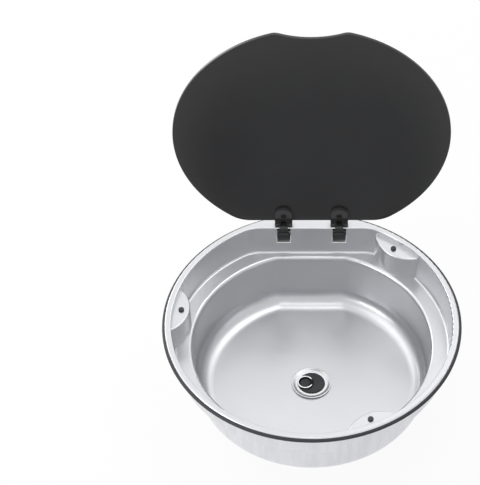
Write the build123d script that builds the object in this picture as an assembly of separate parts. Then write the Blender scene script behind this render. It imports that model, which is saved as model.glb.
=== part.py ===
from build123d import *
import math
import os

# Lengths are in millimetres and angles in degrees. The origin is the centre of the round rim, on the
# worktop surface that the rubber seal rests on. +X points to the user's right, +Y to the hinges and
# +Z up. The lid is modelled open, leaning on its stop.

# Pressed sheet
SHEET = 0.8
RIM_R = 196.35
RIM_FLAT_DEPTH = 20.25
RIM_CORNER_R = 50.0
RIM_FILLET = 1.4
FLANGE_WIDTH = 8.65
FLANGE_LIP = 2.6
FLANGE_EDGE_FILLET = 1.8
UPPER_DEPTH = 47.8
UPPER_DRAFT = 3.72
SHELF_FILLET = 3.5
SIDE_SHELF = 24.94
BACK_SHELF = 12.1
BOWL_CORNER_R = 34.0
BOWL_DRAFT = 3.05
BOWL_EDGE_FILLET = 5.0
BOWL_DEPTH = 139.6
FLOOR_FALL = 2.6
FLOOR_FILLET = 25.0

# Ledges that carry the lid's bumpers
LEDGE_ANGLES = {"rear": 50.4, "left": 171.8, "front": -64.6}
LEDGE_ARC_R = 50.2
LEDGE_DRAFT = 1.5
LEDGE_FILLET = 2.6
LEDGE_FOOT_GAP = 4.0
BUMPER_INSET = 11.35
BUMPER_HEAD_R = 4.0
BUMPER_HEAD_H = 3.0
BUMPER_STEM_R = 2.0
BUMPER_BARB_R = 2.9
BUMPER_BARB_H = 2.4
HOLE_PLAY = 0.05

# Rubber seal under the flange
SEAL_HEIGHT = 5.1
SEAL_OVERHANG = 3.7
SEAL_TOP_DROP = 1.7
SEAL_INNER_GAP = 1.2
SEAL_CROWN_DROP = 0.5
SEAL_BULGE_DROP = 2.4

# Glass lid
GLASS_T = 5.0
GLASS_PROUD = 0.5
GLASS_RIM_GAP = 1.95
GLASS_HINGE_GAP = 10.6
GLASS_CORNER_R = 46.0
GLASS_EDGE_ROUND = 0.9
NOTCH_R = 138.0
NOTCH_DEPTH = 15.0
NOTCH_ROUND = 18.0
BUMPER_GAP = 0.3

# Hinges
HINGE_X = 40.3
OPEN_ANGLE = 91.5
PIVOT_BEHIND_CHORD = 4.7
PIVOT_BELOW_RIM = 11.8
PIN_R = 1.5
PIN_PLAY = 0.05
HUB_R = 7.2
BLOCK_WIDTH = 16.6
BLOCK_FRONT_R = 11.4
BLOCK_SHOULDER_DROP = 5.4
BLOCK_TOE_DROP = 4.2
BLOCK_ROUND = 1.2
NECK_WIDTH = 12.0
NECK_T = 3.0
NECK_FRONT_GAP = 0.9
NECK_LIFT = 1.2
NECK_OUTER_R = 3.8
NECK_SHOULDER_R = 3.0
NECK_SHOULDER_RISE = 4.6
PLATE_T = 2.0
PLATE_TOP_V = 20.0
SLOT_SIDE_GAP = 1.1
SLOT_DEPTH = 28.0
SLOT_LIP = 2.3
SLOT_FILLET = 1.0
SLOT_CORNER_R = 1.5

# Hinge housings behind the back wall
HOUSING_WALL = 1.5
HOUSING_TOP_GAP = 0.1
HOUSING_SIDE_PLAY = 0.5
HOUSING_REACH = 8.0
SEAT_PLAY = 0.1
SWEEP_PLAY = 0.5

# Clamps that hold the glass
CLAMP_R = 12.5
CLAMP_CENTRE_V = 13.5
CLAMP_T_TOP = 3.9
CLAMP_T_FOOT = 8.8
CLAMP_SLOPE_LOW_V = 2.5
CLAMP_SLOPE_HIGH_V = 9.0
CLAMP_FOOT_SLOPE = 4.0
CLAMP_ROUND = 0.9
CLAMP_PLAY = 0.2
STOP_GAP = 0.35
WINDOW_WIDTH = 8.0
WINDOW_TOP_V = 7.0
WINDOW_DEPTH = 1.0
RIB_V = 4.0
RIB_H = 1.4
PAD_T = 1.0
PAD_PROUD = 0.4
SLEEVE_R = 5.0
BOSS_R = 4.0
CAP_T = 3.2
CAP_ROUND = 1.4
SCREW_R = 2.0
SCREW_PLAY = 0.05
SCREW_HEAD_R = 4.0
SCREW_HEAD_H = 1.1
SCREW_SEAT_T = 2.8
SCREW_SLOT_WIDTH = 1.2
SCREW_SLOT_DEPTH = 0.7
SCREW_END_WALL = 1.0

# Waste
DRAIN_HOLE_R = 21.0
DRAIN_SEAT_R = 31.0
WASTE_RIM_R = 27.9
WASTE_RIM_H = 1.8
WASTE_RIM_LIP = 0.5
WASTE_SEAT_R = 19.3
WASTE_CUP_R = 17.6
WASTE_CUP_T = 1.4
WASTE_CUP_DEPTH = 9.0
WASTE_GRID_T = 1.5
GRID_HOLES = 6
GRID_HOLE_R = 3.4
GRID_HOLE_PCD = 21.0
TOP_GASKET_T = 1.0
TOP_GASKET_R = 27.0
BOTTOM_GASKET_T = 1.5
BOTTOM_GASKET_R = 29.0
BODY_FLANGE_R = 30.0
BODY_FLANGE_T = 3.0
BODY_WALL = 2.2
BODY_PLAY = 0.6
BODY_DEPTH = 35.0
BODY_BASE_ROUND = 5.0
BODY_BOSS_R = 4.6
BODY_BOSS_DEPTH = 12.0
BODY_RIBS = 8
BODY_RIB_T = 2.0
BODY_RIB_H = 9.0
SPIGOT_R = 12.5
SPIGOT_WALL = 2.2
SPIGOT_COLLAR_R = 15.0
SPIGOT_COLLAR_T = 3.0
SPIGOT_COLLAR_GAP = 1.0
SPIGOT_FREE_LENGTH = 28.0
SPIGOT_CHAMFER = 1.0
WASTE_SCREW_R = 2.5
WASTE_SCREW_HEAD_R = 4.6
WASTE_SCREW_HEAD_H = 2.0

# Plug and pull ring
PLUG_R = 18.5
PLUG_TOP = 2.4
PLUG_T = 1.5
PLUG_ROUND = 0.5
PLUG_STEM_R = 14.5
PLUG_STEM_H = 4.4
PLUG_SEAL_GAP = 0.3
PLUG_SEAL_H = 2.9
PLUG_CLIP_R = 16.2
PLUG_CLIP_T = 1.0
RING_R = 10.3
RING_WIRE_R = 1.05
RING_LIFT = 0.35
RING_HALF_GAP = 5.2
RING_PIN_LENGTH = 3.4
RING_PIN_PLAY = 0.06
LUG_SIDE_GAP = 0.3
LUG_R = 2.4

# Extra length of the solids that cut
MARGIN = 5.0

# Derived places
RIM_Z = SEAL_HEIGHT
SHELF_Z = RIM_Z - UPPER_DEPTH
DRAIN_Z = RIM_Z - BOWL_DEPTH
FLANGE_R = RIM_R + FLANGE_WIDTH
RIM_CHORD_Y = RIM_R - RIM_FLAT_DEPTH
UPPER_INSET = UPPER_DEPTH * math.tan(math.radians(UPPER_DRAFT))
BOWL_R = RIM_R - UPPER_INSET - SIDE_SHELF
BOWL_CHORD_Y = RIM_CHORD_Y - UPPER_INSET - BACK_SHELF
LEDGE_CENTRE_R = BOWL_R + LEDGE_FOOT_GAP + LEDGE_ARC_R
GLASS_UNDER_Z = RIM_Z + GLASS_PROUD - GLASS_T
LEDGE_Z = GLASS_UNDER_Z - BUMPER_GAP - BUMPER_HEAD_H
GLASS_R = RIM_R - GLASS_RIM_GAP
GLASS_HINGE_Y = RIM_CHORD_Y - GLASS_HINGE_GAP
PIVOT_Y = RIM_CHORD_Y + PIVOT_BEHIND_CHORD
PIVOT_Z = RIM_Z - PIVOT_BELOW_RIM
PLATE_FACE = PAD_T + PLATE_T
CLAMP_TOP_W = PAD_T + CLAMP_T_TOP
CLAMP_FOOT_W = PAD_T + CLAMP_T_FOOT
SLOT_HALF = BLOCK_WIDTH / 2 + SLOT_SIDE_GAP
BACK_WALL_Y = RIM_CHORD_Y + SHEET
PLUG_AXIS_Z = DRAIN_Z + PLUG_TOP + RING_LIFT + RING_WIRE_R
SPIGOT_Z = DRAIN_Z - BODY_DEPTH + BODY_WALL + SPIGOT_R
COLLAR_Y = BODY_FLANGE_R + SPIGOT_COLLAR_GAP
SPIGOT_END_Y = COLLAR_Y + SPIGOT_COLLAR_T + SPIGOT_FREE_LENGTH


def open_point(y, z):
    """A point of the closed lid, in the Y-Z plane, carried to the open lid."""
    turn = math.radians(-OPEN_ANGLE)
    dy = y - PIVOT_Y
    dz = z - PIVOT_Z
    return (
        PIVOT_Y + dy * math.cos(turn) - dz * math.sin(turn),
        PIVOT_Z + dy * math.sin(turn) + dz * math.cos(turn),
    )


# The open lid's own frame: X as before, Y away from the hinge edge, Z out of the glass's inner face.
LID_EDGE_Y, LID_EDGE_Z = open_point(GLASS_HINGE_Y, GLASS_UNDER_Z)
LID_LEAN = math.radians(180.0 - OPEN_ANGLE)
LID = Plane(
    origin=(0, LID_EDGE_Y, LID_EDGE_Z),
    x_dir=(1, 0, 0),
    z_dir=(0, -math.sin(LID_LEAN), math.cos(LID_LEAN)),
)
CLAMP_FOOT_V = (RIM_Z + STOP_GAP - LID_EDGE_Z - PAD_T * math.cos(LID_LEAN)) / math.sin(LID_LEAN)
NECK_LOW_V = (RIM_Z + NECK_LIFT - LID_EDGE_Z - PAD_T * math.cos(LID_LEAN)) / math.sin(LID_LEAN)


def ring_solid(outer_r, inner_r, low_z, high_z):
    """A flat ring about the Z axis."""
    height = high_z - low_z
    centre = Pos(0, 0, (low_z + high_z) / 2)
    return centre * (Cylinder(outer_r, height) - Cylinder(inner_r, height))


def box_between(low, high):
    """A box from its lowest to its highest corner."""
    size = [b - a for a, b in zip(low, high)]
    centre = [(a + b) / 2 for a, b in zip(low, high)]
    return Pos(*centre) * Box(*size)


def turned(points):
    """A solid of revolution about Z, from points of radius and height."""
    outline = make_face(Polyline(*[(r, 0, z) for r, z in points], close=True))
    return revolve(outline, Axis.Z)


def x_rod(radius, x_low, x_high, y, z):
    """A round rod along X."""
    return Pos((x_low + x_high) / 2, y, z) * Rot(0, 90, 0) * Cylinder(radius, x_high - x_low)


def side_extrusion(outline, x_low, x_high):
    """An outline in Y and Z, drawn as a sketch's X and Y, run along X."""
    placed = Plane(origin=(x_low, 0, 0), x_dir=(0, 1, 0), z_dir=(1, 0, 0)) * outline
    return extrude(placed, amount=x_high - x_low)


def d_block(radius, chord_y, corner_r, top_z, depth, draft):
    """A round block with a flat back, narrowing downwards."""
    disc = Circle(radius) - Pos(0, chord_y + radius) * Rectangle(2 * radius, 2 * radius)
    outline = Pos(0, 0, top_z) * fillet(disc.vertices(), corner_r)
    return extrude(outline, amount=depth, dir=(0, 0, -1), taper=draft)


def at_ledge(angle, radius):
    """A place at a ledge's angle and a distance from the centre."""
    turn = math.radians(angle)
    return Pos(radius * math.cos(turn), radius * math.sin(turn), 0)


def ledge_block(angle, skin):
    """The space under a bumper ledge, shrunk by the skin and open at its foot."""
    top_z = LEDGE_Z - skin
    foot_z = SHELF_Z - skin - MARGIN
    height = top_z - foot_z
    foot_r = LEDGE_ARC_R - skin
    top_r = foot_r - (LEDGE_Z - SHELF_Z) * math.tan(math.radians(LEDGE_DRAFT))
    block = Pos(0, 0, (top_z + foot_z) / 2) * Cone(foot_r, top_r, height)
    block = fillet(block.edges().group_by(Axis.Z)[-1], LEDGE_FILLET - skin)
    return at_ledge(angle, LEDGE_CENTRE_R) * block


def floor_wedge(skin):
    """What lies under the floor, which rises gently from the drain seat to the walls."""
    reach = BOWL_R + MARGIN
    low_z = DRAIN_Z - skin - MARGIN
    rise = (reach - DRAIN_SEAT_R) * math.tan(math.radians(FLOOR_FALL))
    seat_z = DRAIN_Z - skin
    return turned([(0, low_z), (reach, low_z), (reach, seat_z + rise), (DRAIN_SEAT_R, seat_z), (0, seat_z)])


def bowl_form(skin):
    """The space inside the pressed walls, grown outwards by the skin."""
    upper = d_block(
        RIM_R + skin, RIM_CHORD_Y + skin, RIM_CORNER_R + skin, RIM_Z, UPPER_DEPTH + skin, UPPER_DRAFT
    )
    upper = fillet(upper.edges().group_by(Axis.Z)[0], SHELF_FILLET + skin)
    deep_top = SHELF_Z - skin
    deep_depth = deep_top - (DRAIN_Z - skin) + MARGIN
    corner_r = BOWL_CORNER_R + skin
    deep = d_block(BOWL_R + skin, BOWL_CHORD_Y + skin, corner_r, deep_top, deep_depth, BOWL_DRAFT)
    deep -= floor_wedge(skin)
    foot = [e for e in deep.edges() if e.center().Z < DRAIN_Z + FLOOR_FILLET / 2 and is_wall_foot(e)]
    deep = fillet(foot, FLOOR_FILLET + skin)
    form = upper + deep
    edge = [e for e in form.edges() if is_bowl_edge(e, deep_top)]
    form = fillet(edge, BOWL_EDGE_FILLET - skin)
    for angle in LEDGE_ANGLES.values():
        form -= ledge_block(angle, skin)
    return form


def points_along(edge):
    """An edge's ends and the points at its quarters."""
    return [edge.position_at(quarter / 4) for quarter in range(5)]


def is_wall_foot(edge):
    """Whether an edge runs where the walls meet the floor."""
    points = points_along(edge)
    level = max(p.Z for p in points) - min(p.Z for p in points) < FLOOR_FILLET / 4
    return level and min(math.hypot(p.X, p.Y) for p in points) > DRAIN_SEAT_R + MARGIN


def is_bowl_edge(edge, top_z):
    """Whether an edge runs where the shelf drops into the deep bowl."""
    points = points_along(edge)
    level = all(abs(p.Z - top_z) < HOLE_PLAY for p in points)
    return level and all(math.hypot(p.X, p.Y) < BOWL_R + 2 * SHEET for p in points)


def is_rim_edge(edge):
    """Whether an edge runs round the mouth, where the flange drops into the upper wall."""
    points = points_along(edge)
    return all(p.Z > RIM_Z - HOLE_PLAY and math.hypot(p.X, p.Y) < RIM_R + SHEET for p in points)


def flange_disc():
    """The flange as a full disc with its outer edge turned down."""
    outer = Pos(0, 0, RIM_Z - FLANGE_LIP / 2) * Cylinder(FLANGE_R, FLANGE_LIP)
    outer = fillet(outer.edges().group_by(Axis.Z)[-1], FLANGE_EDGE_FILLET)
    under_h = FLANGE_LIP - SHEET
    under = Pos(0, 0, RIM_Z - FLANGE_LIP + under_h / 2) * Cylinder(FLANGE_R - SHEET, under_h)
    under = fillet(under.edges().group_by(Axis.Z)[-1], FLANGE_EDGE_FILLET - SHEET)
    return outer - under


def back_wall_y(z):
    """Where the inner face of the flat back wall stands at a height."""
    return RIM_CHORD_Y - (RIM_Z - z) * math.tan(math.radians(UPPER_DRAFT))


def slot_passage(x, grow):
    """A hinge slot's passage, with its sides and its foot moved out."""
    half = SLOT_HALF + grow
    low = (x - half, back_wall_y(SHELF_Z) - MARGIN, RIM_Z - SLOT_DEPTH - grow)
    high = (x + half, BACK_WALL_Y + SLOT_LIP + MARGIN, RIM_Z - SHEET)
    passage = box_between(low, high)
    lower = passage.edges().filter_by(Axis.Y).group_by(Axis.Z)[0]
    return fillet(lower, SLOT_CORNER_R + grow)


def slot_collar(x):
    """The lip folded back behind the wall around a hinge slot."""
    half = SLOT_HALF + MARGIN
    reach = box_between(
        (x - half, back_wall_y(SHELF_Z), SHELF_Z), (x + half, BACK_WALL_Y + SLOT_LIP, RIM_Z - SHEET)
    )
    middle = SHEET / 2
    inside = d_block(RIM_R + middle, RIM_CHORD_Y + middle, RIM_CORNER_R, RIM_Z, UPPER_DEPTH, UPPER_DRAFT)
    return (slot_passage(x, SHEET) & reach) - inside


def slot_cut(x):
    """A hinge slot's passage with the flare where the sheet is drawn round into it."""
    half = SLOT_HALF + 2 * SLOT_FILLET
    front_y = back_wall_y(SHELF_Z) - MARGIN
    top_z = RIM_Z - SHEET
    slot_z = RIM_Z - SLOT_DEPTH
    foot_z = slot_z - 2 * SLOT_FILLET
    front = make_face(
        Polyline(
            (front_y, foot_z),
            (back_wall_y(foot_z), foot_z),
            (back_wall_y(top_z), top_z),
            (front_y, top_z),
            close=True,
        )
    )
    cut = slot_passage(x, 0) + side_extrusion(front, x - half, x + half)
    mouth = []
    for edge in cut.edges():
        points = points_along(edge)
        on_wall = all(abs(p.Y - back_wall_y(p.Z)) < HOLE_PLAY for p in points)
        on_slot = all(abs(p.X - x) < SLOT_HALF + HOLE_PLAY and p.Z > slot_z - HOLE_PLAY for p in points)
        if on_wall and on_slot:
            mouth.append(edge)
    return fillet(mouth, SLOT_FILLET)


def sink_bowl():
    """The pressed bowl with its flange, shelf, ledges, hinge slots and holes."""
    bowl = bowl_form(SHEET) + flange_disc() - bowl_form(0)
    bowl = fillet([e for e in bowl.edges() if is_rim_edge(e)], RIM_FILLET)
    for x in (-HINGE_X, HINGE_X):
        bowl = bowl + slot_collar(x) - slot_cut(x)
    through = SHEET + 2 * MARGIN
    bowl -= Pos(0, 0, DRAIN_Z) * Cylinder(DRAIN_HOLE_R, through)
    for angle in LEDGE_ANGLES.values():
        hole = Pos(0, 0, LEDGE_Z) * Cylinder(BUMPER_STEM_R + HOLE_PLAY, through)
        bowl -= at_ledge(angle, RIM_R - BUMPER_INSET) * hole
    return bowl


def lid_bumper(angle):
    """A rubber bumper with a domed head, pushed through its ledge."""
    head = Pos(0, 0, LEDGE_Z + BUMPER_HEAD_H / 2) * Cylinder(BUMPER_HEAD_R, BUMPER_HEAD_H)
    head = fillet(head.edges().group_by(Axis.Z)[-1], BUMPER_HEAD_H / 2)
    barb_top = LEDGE_Z - SHEET
    barb = turned(
        [
            (0, LEDGE_Z),
            (BUMPER_STEM_R, LEDGE_Z),
            (BUMPER_STEM_R, barb_top),
            (BUMPER_BARB_R, barb_top),
            (BUMPER_STEM_R / 2, barb_top - BUMPER_BARB_H),
            (0, barb_top - BUMPER_BARB_H),
        ]
    )
    return at_ledge(angle, RIM_R - BUMPER_INSET) * (head + barb)


def rim_seal():
    """The rubber ring under the flange, which also hides the turned-down edge."""
    inner_r = RIM_R + SHEET + SEAL_INNER_GAP
    outer_r = FLANGE_R + SEAL_OVERHANG
    edge_z = RIM_Z - SEAL_TOP_DROP
    bulge_z = edge_z - SEAL_BULGE_DROP
    groove_z = RIM_Z - FLANGE_LIP
    return turned(
        [
            (inner_r, 0),
            (outer_r, 0),
            (outer_r, bulge_z),
            (FLANGE_R + SEAL_OVERHANG / 2, edge_z - SEAL_CROWN_DROP),
            (FLANGE_R, edge_z),
            (FLANGE_R, groove_z),
            (FLANGE_R - SHEET, groove_z),
            (FLANGE_R - SHEET, RIM_Z - FLANGE_EDGE_FILLET),
            (FLANGE_R - FLANGE_EDGE_FILLET, RIM_Z - SHEET),
            (inner_r, RIM_Z - SHEET),
        ]
    )


def glass_outline():
    """The lid's outline in its own frame, with the finger notch at the far side."""
    centre_v = GLASS_HINGE_Y
    disc = Pos(0, centre_v) * Circle(GLASS_R)
    disc -= Pos(0, -GLASS_R) * Rectangle(2 * GLASS_R, 2 * GLASS_R)
    outline = fillet(disc.vertices(), GLASS_CORNER_R)
    notch_v = centre_v + GLASS_R - NOTCH_DEPTH
    outline -= Pos(0, notch_v + NOTCH_R) * Circle(NOTCH_R)
    corners = [v for v in outline.vertices() if v.Y > notch_v]
    return fillet(corners, NOTCH_ROUND)


def lid_glass():
    """The toughened glass with a rounded edge and a hole for each clamp."""
    glass = extrude(glass_outline(), amount=-GLASS_T)
    faces = glass.faces().sort_by(Axis.Z)
    glass = fillet(faces[0].edges() + faces[-1].edges(), GLASS_EDGE_ROUND)
    for x in (-HINGE_X, HINGE_X):
        hole = Pos(x, CLAMP_CENTRE_V, 0) * Cylinder(SLEEVE_R + HOLE_PLAY, 2 * (GLASS_T + MARGIN))
        glass -= hole
    return LID.location * glass


def clamp_outline(grow, foot_v):
    """The clamp's outline: straight sides under a half-round top."""
    half = CLAMP_R + grow
    top = Pos(0, CLAMP_CENTRE_V) * Circle(half)
    leg = Pos(0, (foot_v + CLAMP_CENTRE_V) / 2) * Rectangle(2 * half, CLAMP_CENTRE_V - foot_v)
    return top + leg


def is_clamp_rim(edge):
    """Whether an edge bounds the clamp's front without running straight across it."""
    half_way = edge.position_at(0.5) - edge.position_at(0)
    across = math.hypot(half_way.Y, half_way.Z) < CLAMP_PLAY
    return edge.center().Z > CLAMP_TOP_W - CLAMP_PLAY and not across


def hinge_clamp(x):
    """The moulded cover that traps the arm's plate against the glass.

    Its foot rises towards the front, so that only its heel meets the rim when the lid is open."""
    body = Pos(0, 0, PAD_T) * extrude(clamp_outline(0, CLAMP_FOOT_V), amount=CLAMP_T_FOOT)
    low_v = CLAMP_FOOT_V - MARGIN
    front_w = CLAMP_FOOT_W + MARGIN
    foot_rise = (front_w - PAD_T) * math.tan(math.radians(CLAMP_FOOT_SLOPE))
    foot = make_face(
        Polyline(
            (low_v, PAD_T),
            (CLAMP_FOOT_V, PAD_T),
            (CLAMP_FOOT_V + foot_rise, front_w),
            (low_v, front_w),
            close=True,
        )
    )
    body -= side_extrusion(foot, -CLAMP_R - MARGIN, CLAMP_R + MARGIN)
    top_v = CLAMP_CENTRE_V + CLAMP_R + MARGIN
    wedge = make_face(
        Polyline(
            (CLAMP_SLOPE_LOW_V, CLAMP_FOOT_W),
            (CLAMP_SLOPE_HIGH_V, CLAMP_TOP_W),
            (top_v, CLAMP_TOP_W),
            (top_v, front_w),
            (CLAMP_SLOPE_LOW_V, front_w),
            close=True,
        )
    )
    body -= side_extrusion(wedge, -CLAMP_R - MARGIN, CLAMP_R + MARGIN)
    body = fillet([e for e in body.edges() if is_clamp_rim(e)], CLAMP_ROUND)

    half = NECK_WIDTH / 2 + CLAMP_PLAY
    body -= box_between((-half, low_v, 0), (half, PLATE_TOP_V + CLAMP_PLAY, PLATE_FACE + CLAMP_PLAY))
    notch_top = NECK_LOW_V + NECK_T + 2 * CLAMP_PLAY
    body -= box_between((-half, low_v, 0), (half, notch_top, front_w))

    half = WINDOW_WIDTH / 2
    floor_w = CLAMP_TOP_W - WINDOW_DEPTH
    rib_low = RIB_V - RIB_H / 2
    window = box_between((-half, notch_top - CLAMP_PLAY, floor_w), (half, WINDOW_TOP_V, front_w))
    rib = box_between((-half, rib_low, floor_w), (half, rib_low + RIB_H, CLAMP_TOP_W))
    body -= window - rib

    seat_w = PAD_T + SCREW_SEAT_T
    body -= Pos(0, CLAMP_CENTRE_V, seat_w + MARGIN) * Cylinder(SCREW_HEAD_R + CLAMP_PLAY, 2 * MARGIN)
    body -= Pos(0, CLAMP_CENTRE_V, seat_w) * Cylinder(SCREW_R + CLAMP_PLAY, 2 * MARGIN)
    return LID.location * Pos(x, 0, 0) * body


def arm_front():
    """The arm seen from the front: a bottle shape, with the neck rising from the block."""
    block_half = BLOCK_WIDTH / 2
    neck_half = NECK_WIDTH / 2
    shoulder_z = RIM_Z - BLOCK_SHOULDER_DROP
    foot_z = PIVOT_Z - BLOCK_FRONT_R
    top_z = RIM_Z + NECK_LIFT + NECK_T + MARGIN
    right = [
        (block_half, foot_z),
        (block_half, shoulder_z),
        (neck_half, shoulder_z + NECK_SHOULDER_RISE),
        (neck_half, top_z),
    ]
    left = [(-across, z) for across, z in reversed(right)]
    outline = make_face(Polyline(*right, *left, close=True))
    bends = [v for v in outline.vertices() if foot_z + SHEET < v.Y < top_z - SHEET]
    outline = fillet(bends, NECK_SHOULDER_R)
    back_y = LID_EDGE_Y + MARGIN
    front_y = PIVOT_Y - BLOCK_FRONT_R - MARGIN
    placed = Plane(origin=(0, back_y, 0), x_dir=(1, 0, 0), z_dir=(0, -1, 0)) * outline
    return extrude(placed, amount=back_y - front_y)


def hinge_arm(x):
    """The moving arm: hub and block in the slot, goose neck round the rim, plate on the glass."""
    hub = Pos(PIVOT_Y, PIVOT_Z) * Circle(HUB_R)
    front_y = PIVOT_Y - BLOCK_FRONT_R
    shoulder_z = RIM_Z - BLOCK_SHOULDER_DROP
    upper_h = shoulder_z - PIVOT_Z
    upper = Pos(PIVOT_Y, PIVOT_Z) * Circle(BLOCK_FRONT_R)
    upper &= Pos(PIVOT_Y - BLOCK_FRONT_R / 2, PIVOT_Z + upper_h / 2) * Rectangle(BLOCK_FRONT_R, upper_h)
    toe_centre = Pos(PIVOT_Y - BLOCK_FRONT_R / 2, PIVOT_Z - BLOCK_TOE_DROP / 2)
    toe = toe_centre * Rectangle(BLOCK_FRONT_R, BLOCK_TOE_DROP)
    block = upper + toe + hub
    toe_corner = block.vertices().sort_by_distance((front_y, PIVOT_Z - BLOCK_TOE_DROP))[0]
    block = fillet(toe_corner, BLOCK_ROUND)

    inner_y = RIM_CHORD_Y - NECK_FRONT_GAP
    outer_y = inner_y - NECK_T
    low_z = RIM_Z + NECK_LIFT
    high_z = low_z + NECK_T
    plate_y = LID_EDGE_Y - PAD_T - PLATE_T / 2
    neck = make_face(
        Polyline(
            (outer_y, shoulder_z - BLOCK_SHOULDER_DROP),
            (outer_y, high_z),
            (plate_y, high_z),
            (plate_y, low_z),
            (inner_y, low_z),
            (inner_y, shoulder_z - BLOCK_SHOULDER_DROP),
            close=True,
        )
    )
    outer_corner = neck.vertices().sort_by_distance((outer_y, high_z))[0]
    neck = fillet(outer_corner, NECK_OUTER_R)
    inner_corner = neck.vertices().sort_by_distance((inner_y, low_z))[0]
    neck = fillet(inner_corner, NECK_FRONT_GAP)
    arm = side_extrusion(block + neck, -BLOCK_WIDTH / 2, BLOCK_WIDTH / 2) & arm_front()

    plate = box_between((-NECK_WIDTH / 2, NECK_LOW_V, PAD_T), (NECK_WIDTH / 2, PLATE_TOP_V, PLATE_FACE))
    plate -= Pos(0, CLAMP_CENTRE_V, PLATE_FACE) * Cylinder(SCREW_R + CLAMP_PLAY, PLATE_T + 2 * MARGIN)
    arm += LID.location * plate
    arm -= x_rod(PIN_R + PIN_PLAY, -BLOCK_WIDTH, BLOCK_WIDTH, PIVOT_Y, PIVOT_Z)
    return Pos(x, 0, 0) * arm


def hinge_pin(x):
    """The steel pin that the arm turns on."""
    half = SLOT_HALF + SHEET + SEAT_PLAY + HOUSING_WALL
    return x_rod(PIN_R, x - half, x + half, PIVOT_Y, PIVOT_Z)


def hinge_housing(x):
    """The moulded box behind the wall that slips over the slot's folded lip."""
    mouth_half = SLOT_HALF + SHEET + SEAT_PLAY
    half = mouth_half + HOUSING_WALL
    top_z = RIM_Z - SHEET - HOUSING_TOP_GAP
    mouth_foot = RIM_Z - SLOT_DEPTH - SHEET - SEAT_PLAY
    foot_z = mouth_foot - HOUSING_WALL
    cave_back = PIVOT_Y + HOUSING_REACH
    front_y = RIM_CHORD_Y - UPPER_INSET
    housing = box_between((-half, front_y, foot_z), (half, cave_back + HOUSING_WALL, top_z))
    gap = SHEET + SEAT_PLAY
    wall = d_block(RIM_R + gap, RIM_CHORD_Y + gap, RIM_CORNER_R, RIM_Z, UPPER_DEPTH, UPPER_DRAFT)
    housing -= Pos(-x, 0, 0) * wall
    upright = housing.edges().filter_by(Axis.Z)
    housing = fillet([e for e in upright if e.center().Y > cave_back], HOUSING_WALL)
    cave_half = BLOCK_WIDTH / 2 + HOUSING_SIDE_PLAY
    sweep_r = math.hypot(BLOCK_FRONT_R, BLOCK_TOE_DROP) + SWEEP_PLAY
    cave = box_between(
        (-cave_half, front_y - MARGIN, PIVOT_Z - sweep_r), (cave_half, cave_back, top_z - HOUSING_WALL)
    )
    mouth_back = BACK_WALL_Y + SLOT_LIP + SEAT_PLAY
    mouth = box_between((-mouth_half, front_y - MARGIN, mouth_foot), (mouth_half, mouth_back, top_z))
    housing = housing - cave - mouth
    housing -= x_rod(PIN_R + HOLE_PLAY / 2, -2 * half, 2 * half, PIVOT_Y, PIVOT_Z)
    return Pos(x, 0, 0) * housing


def inner_pad(x):
    """The thin rubber pad between the glass and the clamp."""
    pad = extrude(clamp_outline(PAD_PROUD, 0), amount=PAD_T)
    pad -= Pos(0, CLAMP_CENTRE_V, 0) * Cylinder(SCREW_R + CLAMP_PLAY, 2 * (PAD_T + MARGIN))
    return LID.location * Pos(x, 0, 0) * pad


def outer_pad(x):
    """The rubber washer under the cap, with a sleeve that lines the hole in the glass."""
    washer = Pos(0, 0, -GLASS_T - PAD_T / 2) * Cylinder(CLAMP_R, PAD_T)
    sleeve = Pos(0, 0, -GLASS_T / 2) * Cylinder(SLEEVE_R, GLASS_T)
    pad = washer + sleeve
    pad -= Cylinder(BOSS_R + HOLE_PLAY, 2 * (GLASS_T + PAD_T + MARGIN))
    return LID.location * Pos(x, CLAMP_CENTRE_V, 0) * pad


def outer_cap(x):
    """The round cap on the glass's outer face, with the nut boss inside the sleeve."""
    face_w = -GLASS_T - PAD_T
    disc = Pos(0, 0, face_w - CAP_T / 2) * Cylinder(CLAMP_R, CAP_T)
    disc = fillet(disc.edges().group_by(Axis.Z)[0], CAP_ROUND)
    boss_w = -SHEET
    boss = Pos(0, 0, (face_w + boss_w) / 2) * Cylinder(BOSS_R, boss_w - face_w)
    thread_low = face_w - CAP_T + SCREW_END_WALL
    thread_h = boss_w - thread_low
    thread = Pos(0, 0, thread_low + thread_h / 2) * Cylinder(SCREW_R + SCREW_PLAY, thread_h)
    return LID.location * Pos(x, CLAMP_CENTRE_V, 0) * (disc + boss - thread)


def clamp_screw(x):
    """The pan-head screw that draws the clamp and the cap together."""
    seat_w = PAD_T + SCREW_SEAT_T
    end_w = -GLASS_T - PAD_T - CAP_T + SCREW_END_WALL + SHEET
    shank = Pos(0, 0, (seat_w + end_w) / 2) * Cylinder(SCREW_R, seat_w - end_w)
    head = Pos(0, 0, seat_w + SCREW_HEAD_H / 2) * Cylinder(SCREW_HEAD_R, SCREW_HEAD_H)
    head = fillet(head.edges().group_by(Axis.Z)[-1], SCREW_HEAD_H / 2)
    slot_w = seat_w + SCREW_HEAD_H
    across = Pos(0, 0, slot_w) * Box(2 * SCREW_R, SCREW_SLOT_WIDTH, 2 * SCREW_SLOT_DEPTH)
    along = Pos(0, 0, slot_w) * Box(SCREW_SLOT_WIDTH, 2 * SCREW_R, 2 * SCREW_SLOT_DEPTH)
    return LID.location * Pos(x, CLAMP_CENTRE_V, 0) * (shank + head - across - along)


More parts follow.
